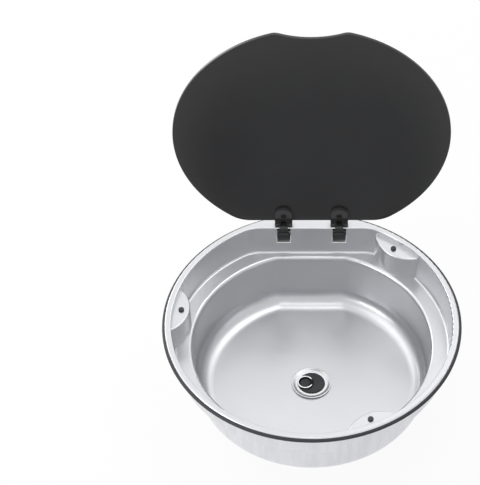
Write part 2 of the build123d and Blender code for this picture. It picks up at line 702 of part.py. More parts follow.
def waste_flange():
    """The polished ring in the bowl floor, with the plug's seat and the strainer below it."""
    base = TOP_GASKET_T
    crown = base + WASTE_RIM_H
    crown_r = (WASTE_RIM_R + WASTE_SEAT_R) / 2
    seat_z = base + WASTE_RIM_LIP
    cup_r = WASTE_CUP_R + WASTE_CUP_T
    outer_run = Spline((WASTE_RIM_R, 0, seat_z), (crown_r, 0, crown), (WASTE_SEAT_R, 0, seat_z))
    rest = Polyline(
        (WASTE_SEAT_R, 0, seat_z),
        (WASTE_CUP_R, 0, -PLUG_SEAL_H),
        (WASTE_CUP_R, 0, WASTE_GRID_T - WASTE_CUP_DEPTH),
        (0, 0, WASTE_GRID_T - WASTE_CUP_DEPTH),
        (0, 0, -WASTE_CUP_DEPTH),
        (cup_r, 0, -WASTE_CUP_DEPTH),
        (cup_r, 0, base - WASTE_RIM_LIP),
        (cup_r + WASTE_CUP_T, 0, base),
        (WASTE_RIM_R, 0, base),
        (WASTE_RIM_R, 0, seat_z),
    )
    flange = revolve(make_face([outer_run, rest]), Axis.Z)
    through = WASTE_GRID_T + MARGIN
    for index in range(GRID_HOLES):
        place = Rot(0, 0, index * 360 / GRID_HOLES) * Pos(GRID_HOLE_PCD / 2, 0, -WASTE_CUP_DEPTH)
        flange -= place * Cylinder(GRID_HOLE_R, through)
    flange -= Pos(0, 0, -WASTE_CUP_DEPTH) * Cylinder(WASTE_SCREW_R + HOLE_PLAY, through)
    return Pos(0, 0, DRAIN_Z) * flange


def waste_top_gasket():
    """The soft ring between the waste's rim and the bowl floor."""
    hole_r = WASTE_CUP_R + 2 * WASTE_CUP_T + HOLE_PLAY
    return ring_solid(TOP_GASKET_R, hole_r, DRAIN_Z, DRAIN_Z + TOP_GASKET_T)


def waste_bottom_gasket():
    """The soft ring between the bowl floor and the waste body."""
    top = DRAIN_Z - SHEET
    return ring_solid(BOTTOM_GASKET_R, DRAIN_HOLE_R, top - BOTTOM_GASKET_T, top)


def waste_body():
    """The moulded body under the bowl: flange, ribs, cup, screw boss and side outlet."""
    cup_in = WASTE_CUP_R + WASTE_CUP_T + BODY_PLAY
    cup_out = cup_in + BODY_WALL
    top = -SHEET - BOTTOM_GASKET_T
    foot = -BODY_DEPTH
    flange_foot = top - BODY_FLANGE_T
    outlet_z = SPIGOT_Z - DRAIN_Z
    body = Pos(0, 0, (top + foot) / 2) * Cylinder(cup_out, top - foot)
    body = fillet(body.edges().group_by(Axis.Z)[0], BODY_BASE_ROUND)
    body += ring_solid(BODY_FLANGE_R, cup_in, flange_foot, top)
    rib_end = BODY_FLANGE_R - BODY_RIB_T
    rib_foot = flange_foot - BODY_RIB_H
    corners = [(cup_in, flange_foot), (rib_end, flange_foot), (cup_in, rib_foot)]
    rib = extrude(Plane.XZ * make_face(Polyline(*corners, close=True)), amount=BODY_RIB_T / 2, both=True)
    for index in range(BODY_RIBS):
        body += Rot(0, 0, (index * 2 + 1) * 180 / BODY_RIBS) * rib
    along = Rot(-90, 0, 0)
    body += Pos(0, SPIGOT_END_Y / 2, outlet_z) * along * Cylinder(SPIGOT_R, SPIGOT_END_Y)
    collar_y = COLLAR_Y + SPIGOT_COLLAR_T / 2
    body += Pos(0, collar_y, outlet_z) * along * Cylinder(SPIGOT_COLLAR_R, SPIGOT_COLLAR_T)
    body = chamfer(body.edges().filter_by(GeomType.CIRCLE).group_by(Axis.Y)[-1], SPIGOT_CHAMFER)
    cup_floor = foot + BODY_WALL
    body -= Pos(0, 0, (top + cup_floor) / 2) * Cylinder(cup_in, top - cup_floor)
    bore_r = SPIGOT_R - SPIGOT_WALL
    bore_length = SPIGOT_END_Y + MARGIN
    body -= Pos(0, bore_length / 2, outlet_z) * along * Cylinder(bore_r, bore_length)
    boss_top = -WASTE_CUP_DEPTH
    boss_foot = boss_top - BODY_BOSS_DEPTH
    boss = Pos(0, 0, (boss_top + boss_foot) / 2) * Cylinder(BODY_BOSS_R, BODY_BOSS_DEPTH)
    spoke_h = BODY_BOSS_DEPTH / 2
    spoke = Pos(0, 0, boss_foot + spoke_h / 2) * Box(2 * cup_in + BODY_WALL, BODY_RIB_T, spoke_h)
    body += boss + spoke + Rot(0, 0, 90) * spoke
    thread = Cylinder(WASTE_SCREW_R + SCREW_PLAY, BODY_BOSS_DEPTH + MARGIN)
    body -= Pos(0, 0, (boss_top + boss_foot) / 2) * thread
    return Pos(0, 0, DRAIN_Z) * body


def waste_screw():
    """The screw that pulls the waste's rim and body together through the strainer."""
    seat = WASTE_GRID_T - WASTE_CUP_DEPTH
    end = -WASTE_CUP_DEPTH - BODY_BOSS_DEPTH
    shank = Pos(0, 0, (seat + end) / 2) * Cylinder(WASTE_SCREW_R, seat - end)
    head = Pos(0, 0, seat + WASTE_SCREW_HEAD_H / 2) * Cylinder(WASTE_SCREW_HEAD_R, WASTE_SCREW_HEAD_H)
    head = fillet(head.edges().group_by(Axis.Z)[-1], WASTE_SCREW_HEAD_H / 2)
    slot_length = 2 * (WASTE_SCREW_HEAD_R + MARGIN)
    slot_top = Pos(0, 0, seat + WASTE_SCREW_HEAD_H)
    slot = slot_top * Box(slot_length, SCREW_SLOT_WIDTH, 2 * SCREW_SLOT_DEPTH)
    return Pos(0, 0, DRAIN_Z) * (shank + head - slot)


def plug_body():
    """The plug: top disc, stem, clip rim under the seal and the pull ring's lug."""
    disc_foot = PLUG_TOP - PLUG_T
    disc = Pos(0, 0, (PLUG_TOP + disc_foot) / 2) * Cylinder(PLUG_R, PLUG_T)
    disc = fillet(disc.edges().group_by(Axis.Z)[-1], PLUG_ROUND)
    stem_foot = disc_foot - PLUG_STEM_H
    stem = Pos(0, 0, (disc_foot + stem_foot) / 2) * Cylinder(PLUG_STEM_R, PLUG_STEM_H)
    clip = Pos(0, 0, stem_foot + PLUG_CLIP_T / 2) * Cylinder(PLUG_CLIP_R, PLUG_CLIP_T)
    axis_z = PLUG_AXIS_Z - DRAIN_Z
    half = RING_HALF_GAP - RING_WIRE_R - LUG_SIDE_GAP
    along = Rot(90, 0, 0)
    lug = Pos(0, 0, axis_z) * along * Cylinder(LUG_R, 2 * half)
    lug += Pos(0, 0, (axis_z + disc_foot) / 2) * Box(2 * LUG_R, 2 * half, axis_z - disc_foot)
    hole = Pos(0, 0, axis_z) * along * Cylinder(RING_WIRE_R + RING_PIN_PLAY, 2 * (half + MARGIN))
    return Pos(0, 0, DRAIN_Z) * (disc + stem + clip + lug - hole)


def plug_seal():
    """The rubber ring that closes on the conical seat."""
    seat_top = TOP_GASKET_T + WASTE_RIM_LIP
    slope = (WASTE_SEAT_R - WASTE_CUP_R) / (seat_top + PLUG_SEAL_H)
    high = PLUG_TOP - PLUG_T
    low = high - PLUG_STEM_H + PLUG_CLIP_T
    high_r = WASTE_CUP_R + slope * (high + PLUG_SEAL_H) - PLUG_SEAL_GAP
    low_r = WASTE_CUP_R + slope * (low + PLUG_SEAL_H) - PLUG_SEAL_GAP
    seal = turned([(PLUG_STEM_R, low), (low_r, low), (high_r, high), (PLUG_STEM_R, high)])
    return Pos(0, 0, DRAIN_Z) * seal


def pull_ring():
    """The wire ring, open at the lug, with its two ends turned in as pins."""
    half_open = math.asin(RING_HALF_GAP / RING_R)
    centre_x = -RING_R * math.cos(half_open)
    start = math.degrees(half_open)
    section = Plane.XZ * Pos(RING_R, 0) * Circle(RING_WIRE_R)
    hoop = revolve(section, Axis.Z, 360 - 2 * start)
    ring = Pos(centre_x, 0, 0) * Rot(0, 0, start) * hoop
    pin = Rot(90, 0, 0) * Cylinder(RING_WIRE_R, RING_PIN_LENGTH)
    for side in (-1, 1):
        end_y = side * RING_HALF_GAP
        ring += Pos(0, end_y, 0) * Sphere(RING_WIRE_R)
        ring += Pos(0, end_y - side * RING_PIN_LENGTH / 2, 0) * pin
    return Pos(0, 0, PLUG_AXIS_Z) * ring


def all_pieces():
    """Every piece by its node's name."""
    pieces = {
        "sink_bowl": sink_bowl(),
        "rim_seal": rim_seal(),
        "lid_glass": lid_glass(),
        "waste_flange": waste_flange(),
        "waste_top_gasket": waste_top_gasket(),
        "waste_bottom_gasket": waste_bottom_gasket(),
        "waste_body": waste_body(),
        "waste_screw": waste_screw(),
        "plug_body": plug_body(),
        "plug_seal": plug_seal(),
        "pull_ring": pull_ring(),
    }
    for name, angle in LEDGE_ANGLES.items():
        pieces[f"lid_bumper_{name}"] = lid_bumper(angle)
    for side, x in (("left", -HINGE_X), ("right", HINGE_X)):
        pieces[f"hinge_housing_{side}"] = hinge_housing(x)
        pieces[f"hinge_pin_{side}"] = hinge_pin(x)
        pieces[f"hinge_arm_{side}"] = hinge_arm(x)
        pieces[f"hinge_clamp_{side}"] = hinge_clamp(x)
        pieces[f"inner_pad_{side}"] = inner_pad(x)
        pieces[f"outer_pad_{side}"] = outer_pad(x)
        pieces[f"outer_cap_{side}"] = outer_cap(x)
        pieces[f"clamp_screw_{side}"] = clamp_screw(x)
    return pieces


os.makedirs("parts", exist_ok=True)
for name, piece in all_pieces().items():
    export_step(piece, f"parts/{name}.step")
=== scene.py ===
import math

import bmesh
import bpy
from mathutils import Matrix, Vector


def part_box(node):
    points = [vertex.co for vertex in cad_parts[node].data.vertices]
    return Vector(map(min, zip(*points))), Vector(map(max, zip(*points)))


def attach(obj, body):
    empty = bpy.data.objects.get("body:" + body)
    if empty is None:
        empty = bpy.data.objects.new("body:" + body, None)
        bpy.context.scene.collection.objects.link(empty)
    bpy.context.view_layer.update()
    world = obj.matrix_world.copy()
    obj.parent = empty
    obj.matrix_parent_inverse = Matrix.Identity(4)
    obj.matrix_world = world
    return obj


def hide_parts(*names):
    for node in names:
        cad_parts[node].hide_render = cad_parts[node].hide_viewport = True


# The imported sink, in metres: +X to the user's right, +Y to the hinges, +Z up, worktop surface at zero.
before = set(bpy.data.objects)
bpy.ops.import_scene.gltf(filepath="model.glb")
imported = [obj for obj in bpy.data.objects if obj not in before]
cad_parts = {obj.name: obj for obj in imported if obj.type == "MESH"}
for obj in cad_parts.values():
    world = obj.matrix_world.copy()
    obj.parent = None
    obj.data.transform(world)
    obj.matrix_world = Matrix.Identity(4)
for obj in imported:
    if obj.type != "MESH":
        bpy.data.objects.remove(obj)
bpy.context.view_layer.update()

bl_info = {
    "name": "Round Sink with Glass Lid",
    "version": (1, 0, 0),
    "blender": (4, 5, 0),
    "location": "3D View > Sidebar > Sink",
    "description": "A round pressed sink with its glass lid, hinges, waste and plug",
    "category": "Object",
}

SIDES = ("left", "right")
BUMPERS = ("rear", "left", "front")
FOOT_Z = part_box("waste_body")[0].z

# Points closer than this are one point, and edges sharper than this stay crisp
WELD = 0.000001
SHARP_EDGE = math.radians(32.0)

# The waste's ring: a flat land round the plug, a slope up from it and a rolled edge. The
# crown's points past the roll's share of the way from the seat to the edge make the roll.
WASTE_RING_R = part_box("waste_flange")[1].x
WASTE_RING_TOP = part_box("waste_flange")[1].z
WASTE_CROWN_H = 0.0013
WASTE_SEAT_R = 0.0193
WASTE_SEAT_Z = WASTE_RING_TOP - WASTE_CROWN_H
WASTE_LAND_R = 0.0224
WASTE_ROLL_R = 0.0004
WASTE_ROLL_START_R = WASTE_RING_R - WASTE_ROLL_R
WASTE_ROLL_SHARE = 0.72
WASTE_SLOPE_BLEND = 0.0008

# The hinge slots in the back wall, with the band along their lips where a highlight is painted
HINGE_BLOCK_LOW, HINGE_BLOCK_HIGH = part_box("hinge_arm_right")
HINGE_BLOCK_TO_WALL = 0.003
SLOT_X = HINGE_BLOCK_LOW.lerp(HINGE_BLOCK_HIGH, 0.5).x
SLOT_HALF = 0.0094
SLOT_FOOT_Z = -0.0229
SLOT_TOP_Z = 0.0033
SLOT_WALL_Y = HINGE_BLOCK_LOW.y + HINGE_BLOCK_TO_WALL
SLOT_LIP_BAND = 0.0016
SLOT_BLEND = 0.001

# The groove in the plug's top where the pull ring lies: a C that is open at the ring's lug. Its
# centre is one outer radius, the high y of the ring's box, in from the low x of that box.
PULL_RING_LOW, PULL_RING_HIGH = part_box("pull_ring")
PULL_RING_LIFT = 0.00035
PULL_RING_WIRE_R = 0.00105
PLUG_TOP_Z = PULL_RING_LOW.z - PULL_RING_LIFT
GROOVE_X = PULL_RING_LOW.x + PULL_RING_HIGH.y
GROOVE_INSET = 0.0006
GROOVE_R = PULL_RING_HIGH.y - PULL_RING_WIRE_R - GROOVE_INSET
GROOVE_HALF = 0.0028
GROOVE_BLEND_IN = 0.0003
GROOVE_BLEND_OUT = 0.0002
GROOVE_OPENING = math.radians(76.0)
GROOVE_STEPS = 96
GROOVE_SIDES = 32

# Grey values between which a noise texture's marks are spread, and between which they tint
MARK_LOW, MARK_HIGH = 0.25, 0.75
TINT_LOW, TINT_HIGH = 0.3, 0.7

# Depths of the fine reliefs, and how many grains wide a flow mark is
SHEET_GRAIN_DEPTH = 0.0000025
TURNING_MARK_DEPTH = 0.000003
GLASS_WAVE_DEPTH = 0.00002
MOULD_GRAIN_DEPTH = 0.00001
PLUG_GRAIN_DEPTH = 0.000008
SCREW_GRAIN_DEPTH = 0.000006
FLOW_MARK_GRAINS = 30

# Places of the colour sockets on a mix node
MIX_SHARE, MIX_UNDER, MIX_OVER, MIX_RESULT = 0, 6, 7, 2

WHITE = (1.0, 1.0, 1.0, 1.0)
EVEN = (1.0, 1.0, 1.0)
LEVEL = (1.0, 1.0, 0.0)


class SinkSteel(bpy.types.PropertyGroup):
    """The steel of the bowl, the waste's ring and the small polished pieces."""

    sheet_colour: bpy.props.FloatVectorProperty(
        name="Sheet Colour",
        description="Colour of the satin pressed sheet",
        subtype="COLOR",
        size=3,
        min=0.0,
        max=1.0,
        default=(0.564, 0.569, 0.587),
    )
    sheet_roughness: bpy.props.FloatProperty(
        name="Sheet Roughness",
        description="How dull the satin finish is",
        subtype="FACTOR",
        min=0.0,
        max=1.0,
        default=0.3,
    )
    sheet_metallic: bpy.props.FloatProperty(
        name="Sheet Metallic",
        description="Share of the sheet's light that is mirrored by bare metal",
        subtype="FACTOR",
        min=0.0,
        max=1.0,
        default=0.9,
    )
    lip_highlight_colour: bpy.props.FloatVectorProperty(
        name="Lip Highlight Colour",
        description="Colour of the painted highlight along the lips of the hinge slots",
        subtype="COLOR",
        size=3,
        min=0.0,
        max=1.0,
        default=(0.95, 0.95, 0.95),
    )
    outside_painted_light_colour: bpy.props.FloatVectorProperty(
        name="Outside Painted Light Colour",
        description="Colour of the sheet's duller outer side, painted lighter as painted light",
        subtype="COLOR",
        size=3,
        min=0.0,
        max=1.0,
        default=(0.745, 0.75, 0.775),
    )
    streak_colour: bpy.props.FloatVectorProperty(
        name="Streak Colour",
        description="Colour of the darker upright streaks on the outer side",
        subtype="COLOR",
        size=3,
        min=0.0,
        max=1.0,
        default=(0.64, 0.645, 0.67),
    )
    outside_metallic: bpy.props.FloatProperty(
        name="Outside Metallic",
        description="Share of the outer side's light that is mirrored by bare metal",
        subtype="FACTOR",
        min=0.0,
        max=1.0,
        default=0.7,
    )
    grain_size: bpy.props.FloatProperty(
        name="Grain Size",
        description="Width of one streak of the satin grain",
        unit="LENGTH",
        subtype="DISTANCE",
        min=0.0001,
        max=0.01,
        default=0.0009,
    )
    ring_dish: bpy.props.FloatProperty(
        name="Ring Dish",
        description="How far the waste's ring dishes down from its edge to the plug",
        unit="LENGTH",
        subtype="DISTANCE",
        min=0.0,
        max=0.0016,
        default=0.0014,
    )
    ring_colour: bpy.props.FloatVectorProperty(
        name="Ring Colour",
        description="Colour of the waste's ring",
        subtype="COLOR",
        size=3,
        min=0.0,
        max=1.0,
        default=(0.66, 0.664, 0.675),
    )
    slope_shade_colour: bpy.props.FloatVectorProperty(
        name="Slope Shade Colour",
        description="Colour of the painted reflection on the slope between the ring's edge and its land",
        subtype="COLOR",
        size=3,
        min=0.0,
        max=1.0,
        default=(0.4, 0.404, 0.415),
    )
    polished_colour: bpy.props.FloatVectorProperty(
        name="Polished Colour",
        description="Colour of the polished pull ring, hinge pins and waste screw",
        subtype="COLOR",
        size=3,
        min=0.0,
        max=1.0,
        default=(0.78, 0.785, 0.8),
    )


class SinkDarks(bpy.types.PropertyGroup):
    """The glass, the rubber and the moulded plastics."""

    groove_depth: bpy.props.FloatProperty(
        name="Groove Depth",
        description="Depth of the groove in the plug's top where the pull ring lies",
        unit="LENGTH",
        subtype="DISTANCE",
        min=0.0002,
        max=0.0012,
        default=0.001,
    )
    glass_colour: bpy.props.FloatVectorProperty(
        name="Glass Colour",
        description="Colour of the dark enamel behind the lid's glass",
        subtype="COLOR",
        size=3,
        min=0.0,
        max=1.0,
        default=(0.012, 0.012, 0.0125),
    )
    rubber_colour: bpy.props.FloatVectorProperty(
        name="Rubber Colour",
        description="Colour of the seals, the gaskets and the bumpers",
        subtype="COLOR",
        size=3,
        min=0.0,
        max=1.0,
        default=(0.023, 0.0242, 0.0272),
    )
    hinge_colour: bpy.props.FloatVectorProperty(
        name="Hinge Colour",
        description="Colour of the hinges' moulded plastic",
        subtype="COLOR",
        size=3,
        min=0.0,
        max=1.0,
        default=(0.014, 0.014, 0.0155),
    )
    clamp_colour: bpy.props.FloatVectorProperty(
        name="Clamp Colour",
        description="Colour of the clamps' faces towards the bowl",
        subtype="COLOR",
        size=3,
        min=0.0,
        max=1.0,
        default=(0.044, 0.044, 0.046),
    )
    pad_and_shade_colour: bpy.props.FloatVectorProperty(
        name="Pad and Shade Colour",
        description="Colour of the black pads and screws, and of the painted shade on the clamps' sides and in the plug's groove",
        subtype="COLOR",
        size=3,
        min=0.0,
        max=1.0,
        default=(0.003, 0.003, 0.0032),
    )
    plug_colour: bpy.props.FloatVectorProperty(
        name="Plug Colour",
        description="Colour of the plug's moulded plastic",
        subtype="COLOR",
        size=3,
        min=0.0,
        max=1.0,
        default=(0.052, 0.0535, 0.0585),
    )
    waste_colour: bpy.props.FloatVectorProperty(
        name="Waste Colour",
        description="Colour of the waste body's moulded plastic",
        subtype="COLOR",
        size=3,
        min=0.0,
        max=1.0,
        default=(0.035, 0.036, 0.038),
    )


class SinkStage(bpy.types.PropertyGroup):
    """The floor and the even light round it."""

    floor_size: bpy.props.FloatProperty(
        name="Floor Size",
        description="Side of the square floor",
        unit="LENGTH",
        subtype="DISTANCE",
        min=1.0,
        max=100.0,
        default=30.0,
    )
    floor_colour: bpy.props.FloatVectorProperty(
        name="Floor Colour",
        description="Colour of the pale floor",
        subtype="COLOR",
        size=3,
        min=0.0,
        max=1.0,
        default=(0.9, 0.9, 0.9),
    )
    shadow_share: bpy.props.FloatProperty(
        name="Shadow Share",
        description="How much of the floor's own shading the camera sees",
        subtype="FACTOR",
        min=0.0,
        max=1.0,
        default=0.09,
    )
    room_light: bpy.props.FloatProperty(
        name="Room Light",
        description="Strength of the even light from all round",
        min=0.0,
        max=2.0,
        default=0.5,
    )


class Finish:
    """A material whose look comes from nodes on the piece's own coordinates."""

    def __init__(self, name):
        self.material = bpy.data.materials.new(name)
        self.material.use_nodes = True
        self.tree = self.material.node_tree
        self.tree.nodes.clear()
        self.output = self.add("ShaderNodeOutputMaterial", "Output")
        self.shader = self.add("ShaderNodeBsdfPrincipled", "Surface")
        self.link(self.shader, "BSDF", self.output, "Surface")
        self.place = self.add("ShaderNodeTexCoord", "Place on the piece")

    def add(self, kind, label, **settings):
        """A new node with its label and its own settings."""
        node = self.tree.nodes.new(kind)
        node.name = node.label = label
        for key, value in settings.items():
            setattr(node, key, value)
        return node

    def link(self, source, output, target, target_input):
        """Joins two nodes by the names or places of their sockets."""
        self.tree.links.new(source.outputs[output], target.inputs[target_input])

    def surface(self, **values):
        """Numbers and colours that are the same all over, set on the shader's own sockets."""
        for key, value in values.items():
            socket = self.shader.inputs[key.replace("_", " ").title().replace("Ior", "IOR")]
            socket.default_value = (*value, 1.0) if socket.type == "RGBA" else value
        return self

    def noise(self, label, stretch, scale, detail):
        """Soft random marks, with their size along each axis set by the stretch."""
        mapping = self.add("ShaderNodeMapping", f"{label} direction")
        mapping.inputs["Scale"].default_value = stretch
        marks = self.add("ShaderNodeTexNoise", label)
        marks.inputs["Scale"].default_value = scale
        marks.inputs["Detail"].default_value = detail
        self.link(self.place, "Object", mapping, "Vector")
        self.link(mapping, "Vector", marks, "Vector")
        return marks

    def spread(self, label, source, low, high, target_input):
        """Carries a mark's grey value into a range on one of the shader's sockets."""
        reach = self.add("ShaderNodeMapRange", label)
        reach.inputs["From Min"].default_value = MARK_LOW
        reach.inputs["From Max"].default_value = MARK_HIGH
        reach.inputs["To Min"].default_value = low
        reach.inputs["To Max"].default_value = high
        self.link(source, "Fac", reach, "Value")
        self.link(reach, "Result", self.shader, target_input)

    def tint(self, label, source, colour, change):
        """Varies the base colour a little from place to place."""
        ramp = self.add("ShaderNodeValToRGB", label)
        dark, light = ramp.color_ramp.elements
        dark.position, light.position = TINT_LOW, TINT_HIGH
        dark.color = (*[channel * (1 - change) for channel in colour], 1.0)
        light.color = (*[min(channel * (1 + change), 1.0) for channel in colour], 1.0)
        self.link(source, "Fac", ramp, "Fac")
        self.link(ramp, "Color", self.shader, "Base Color")

    def maths(self, label, operation, *values):
        """A sum or comparison of numbers, sockets or both."""
        node = self.add("ShaderNodeMath", label, operation=operation)
        for place, value in zip(node.inputs, values):
            if isinstance(value, float):
                place.default_value = value
            else:
                self.tree.links.new(value, place)
        return node.outputs[0]

    def away_from(self, label, x):
        """Level distance of a point on the piece from an upright line at x, in metres."""
        shift = self.add("ShaderNodeVectorMath", f"{label} from", operation="SUBTRACT")
        shift.inputs[1].default_value = (x, 0.0, 0.0)
        level = self.add("ShaderNodeVectorMath", f"{label} level", operation="MULTIPLY")
        level.inputs[1].default_value = LEVEL
        length = self.add("ShaderNodeVectorMath", label, operation="LENGTH")
        self.link(self.place, "Object", shift, 0)
        self.link(shift, 0, level, 0)
        self.link(level, 0, length, 0)
        return length.outputs["Value"]

    def ramp(self, label, value, start, end, low, high):
        """Carries a number smoothly from one range into another."""
        reach = self.add("ShaderNodeMapRange", label, interpolation_type="SMOOTHSTEP")
        self.tree.links.new(value, reach.inputs["Value"])
        for name, number in zip(("From Min", "From Max", "To Min", "To Max"), (start, end, low, high)):
            reach.inputs[name].default_value = number
        return reach.outputs["Result"]

    def recolour(self, label, share, colour):
        """Mixes another colour over the base colour by a share that varies on the piece."""
        base = self.shader.inputs["Base Color"]
        mix = self.add("ShaderNodeMix", label, data_type="RGBA")
        if base.is_linked:
            self.tree.links.new(base.links[0].from_socket, mix.inputs[MIX_UNDER])
        else:
            mix.inputs[MIX_UNDER].default_value = base.default_value
        mix.inputs[MIX_OVER].default_value = (*colour, 1.0)
        self.tree.links.new(share, mix.inputs[MIX_SHARE])
        self.tree.links.new(mix.outputs[MIX_RESULT], base)

    def relief(self, *layers):
        """Fine relief from one or several marks, each with its depth in metres."""
        below = None
        for label, marks, depth in layers:
            bump = self.add("ShaderNodeBump", label)
            bump.inputs["Strength"].default_value = 1.0
            bump.inputs["Distance"].default_value = depth
            self.link(marks, "Fac", bump, "Height")
            if below is not None:
                self.link(below, "Normal", bump, "Normal")
            below = bump
        self.link(below, "Normal", self.shader, "Normal")


def satin_steel():
    """Pressed stainless sheet with a fine drawn grain, a painted highlight along the slot lips and a duller
    outer side that is painted lighter.
    """
    steel = bpy.context.scene.sink_steel
    finish = Finish("Satin stainless steel").surface(metallic=steel.sheet_metallic)
    grain = finish.noise("Drawn grain", stretch=(1.0, 1.0, 0.02), scale=1.0 / steel.grain_size, detail=3.0)
    cloud = finish.noise("Dull patches", stretch=(1.0, 1.0, 0.6), scale=14.0, detail=2.0)
    finish.tint("Sheet colour", cloud, steel.sheet_colour, change=0.015)
    streaks = finish.noise("Dull streaks", stretch=(1.0, 1.0, 0.12), scale=110.0, detail=2.0)
    dullness, change = steel.sheet_roughness, 0.02
    finish.spread("Dullness", streaks, dullness - change, dullness + change, "Roughness")
    finish.relief(("Grain relief", grain, SHEET_GRAIN_DEPTH))

    lips, outside = slot_lip_highlight(finish), outer_side(finish)
    streaky = finish.ramp("Streaky", streaks.outputs["Fac"], start=0.35, end=0.65, low=0.0, high=0.45)
    streaky_outside = finish.maths("Streaks outside", "MULTIPLY", outside, streaky)
    # Painted highlight: a near-white band along the slot lips, where the metal is also made duller
    finish.recolour("Painted lip highlight", lips, steel.lip_highlight_colour)
    # Painted light: the outer side is coloured lighter than the inside so the outer wall reads brighter; its
    # lower metallic is a duller finish
    finish.recolour("Outer skin painted lighter", outside, steel.outside_painted_light_colour)
    finish.recolour("Outer streaks", streaky_outside, steel.streak_colour)
    dull = finish.maths("Dull metal", "MAXIMUM", outside, lips)
    bare = finish.ramp("Bare metal", dull, 0.0, 1.0, low=steel.sheet_metallic, high=steel.outside_metallic)
    finish.tree.links.new(bare, finish.shader.inputs["Metallic"])
    return finish.material


def slot_lip_highlight(finish):
    """One along the lips of the two hinge slots, where the painted highlight goes, and zero elsewhere."""
    parts = finish.add("ShaderNodeSeparateXYZ", "Place parts")
    finish.link(finish.place, "Object", parts, 0)
    x, y, z = (parts.outputs[axis] for axis in "XYZ")
    aside = finish.maths("Aside", "ABSOLUTE", x)
    from_middle = finish.maths("From the slot", "ABSOLUTE", finish.maths("Past", "SUBTRACT", aside, SLOT_X))
    beside = finish.maths("Beside", "SUBTRACT", from_middle, SLOT_HALF)
    below = finish.maths("Below", "SUBTRACT", SLOT_FOOT_Z, z)
    reach = finish.maths("Lip reach", "ABSOLUTE", finish.maths("Past the lip", "MAXIMUM", beside, below))
    lip = finish.ramp("Lip", reach, SLOT_LIP_BAND / 2, SLOT_LIP_BAND, low=1.0, high=0.0)
    behind = finish.ramp("On the back wall", y, SLOT_WALL_Y - SLOT_BLEND, SLOT_WALL_Y, low=0.0, high=1.0)
    under = finish.ramp("Under the flange", z, SLOT_TOP_Z - SLOT_BLEND, SLOT_TOP_Z, low=1.0, high=0.0)
    on_wall = finish.maths("Wall lips", "MULTIPLY", lip, behind)
    return finish.maths("Lips of the slots", "MULTIPLY", on_wall, under)


def outer_side(finish):
    """One where the sheet faces out or down, where the lighter painted colour goes, and zero inside the
    bowl.
    """
    level = finish.add("ShaderNodeVectorMath", "Level place", operation="MULTIPLY")
    level.inputs[1].default_value = LEVEL
    away = finish.add("ShaderNodeVectorMath", "Away from the middle", operation="NORMALIZE")
    facing = finish.add("ShaderNodeVectorMath", "Faces out", operation="DOT_PRODUCT")
    down = finish.add("ShaderNodeVectorMath", "Faces down", operation="DOT_PRODUCT")
    down.inputs[1].default_value = (0.0, 0.0, -1.0)
    finish.link(finish.place, "Object", level, 0)
    finish.link(level, 0, away, 0)
    finish.link(away, 0, facing, 0)
    finish.link(finish.place, "Normal", facing, 1)
    finish.link(finish.place, "Normal", down, 0)
    out = finish.ramp("Outward", facing.outputs["Value"], start=0.2, end=0.5, low=0.0, high=1.0)
    under = finish.ramp("Underside", down.outputs["Value"], start=0.3, end=0.6, low=0.0, high=1.0)
    return finish.maths("Outer side", "MAXIMUM", out, under)


def turned_steel(name, colour, smooth, dull):
    """A finish of bare turned steel with hair-fine marks, from its smoothest to its dullest places."""
    finish = Finish(name).surface(metallic=1.0)
    marks = finish.noise("Turning marks", stretch=(1.0, 1.0, 8.0), scale=400.0, detail=3.0)
    finish.tint("Polished colour", marks, colour, change=0.02)
    finish.spread("Polish", marks, smooth, dull, "Roughness")
    finish.relief(("Mark relief", marks, TURNING_MARK_DEPTH))
    return finish


def polished_steel():
    """Polished stainless steel of the small bright pieces."""
    steel = bpy.context.scene.sink_steel
    return turned_steel("Polished stainless steel", steel.polished_colour, smooth=0.16, dull=0.24).material


def waste_ring_steel():
    """Steel of the waste's ring: a little duller, with a darker painted reflection on the slope of its dish.
    """
    steel = bpy.context.scene.sink_steel
    finish = turned_steel("Waste ring steel", steel.ring_colour, smooth=0.24, dull=0.3)
    reach = finish.away_from("Ring reach", 0.0)
    slope_foot, slope_head = WASTE_LAND_R + WASTE_SLOPE_BLEND, WASTE_ROLL_START_R - WASTE_SLOPE_BLEND
    inside = finish.ramp("Off the land", reach, WASTE_LAND_R, slope_foot, low=0.0, high=1.0)
    outside = finish.ramp("Off the edge", reach, slope_head, WASTE_ROLL_START_R, low=1.0, high=0.0)
    # Painted reflection: the slope is coloured darker, standing in for the dark wall that it mirrors
    finish.recolour("Slope", finish.maths("On the slope", "MULTIPLY", inside, outside), steel.slope_shade_colour)
    return finish.material


def dark_glass():
    """Toughened glass over a dark enamel, with the faint waves of heat treatment."""
    darks = bpy.context.scene.sink_darks
    finish = Finish("Dark toughened glass").surface(ior=1.5)
    waves = finish.noise("Heat waves", stretch=(1.0, 0.4, 0.4), scale=18.0, detail=1.0)
    smears = finish.noise("Enamel depth", EVEN, scale=60.0, detail=3.0)
    finish.tint("Enamel colour", smears, darks.glass_colour, change=0.06)
    finish.spread("Polish", waves, 0.3, 0.34, "Roughness")
    finish.relief(("Wave relief", waves, GLASS_WAVE_DEPTH))
    return finish.material


def moulded(name, colour, roughness, grain_scale, grain_depth=MOULD_GRAIN_DEPTH):
    """Moulded plastic or rubber with a spark-eroded grain."""
    finish = Finish(name).surface(ior=1.5)
    grain = finish.noise("Mould grain", EVEN, grain_scale, detail=2.0)
    cloud = finish.noise("Flow marks", EVEN, grain_scale / FLOW_MARK_GRAINS, detail=2.0)
    finish.tint("Body colour", cloud, colour, change=0.08)
    change = 0.06
    finish.spread("Sheen", grain, roughness - change, roughness + change, "Roughness")
    finish.relief(("Flow relief", cloud, grain_depth), ("Grain relief", grain, grain_depth))
    return finish.material


